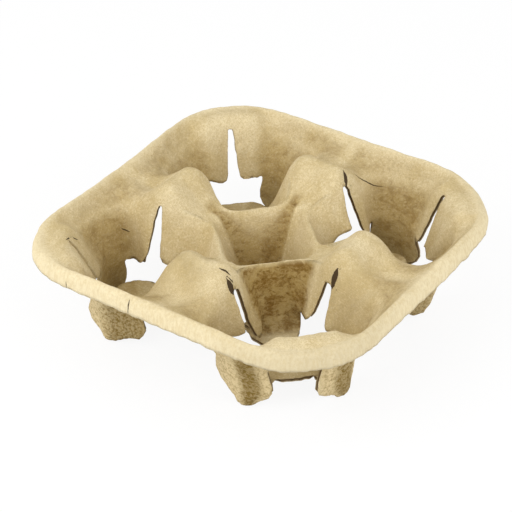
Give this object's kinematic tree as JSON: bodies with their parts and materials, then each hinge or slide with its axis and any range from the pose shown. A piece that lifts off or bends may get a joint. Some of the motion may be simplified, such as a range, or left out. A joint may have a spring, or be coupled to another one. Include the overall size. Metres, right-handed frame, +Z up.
{
  "type": "moulded pulp cup carrier",
  "caption": "Square moulded pulp carrier that holds drinks cups in slit, springy pockets, with a rolled rim, pointed feet and a centre well.",
  "frame": {"origin": "middle of the table surface that the feet stand on", "axes": "+Z up, +X and +Y along the sides of the square tray, with the cups on the diagonals"},
  "size_m": [0.21, 0.21, 0.0675],
  "materials": {
    "pulp": "dry, fibrous moulded pulp"
  },
  "bodies": {
    "root": {"carrier": "pulp"}
  },
  "joints": []
}
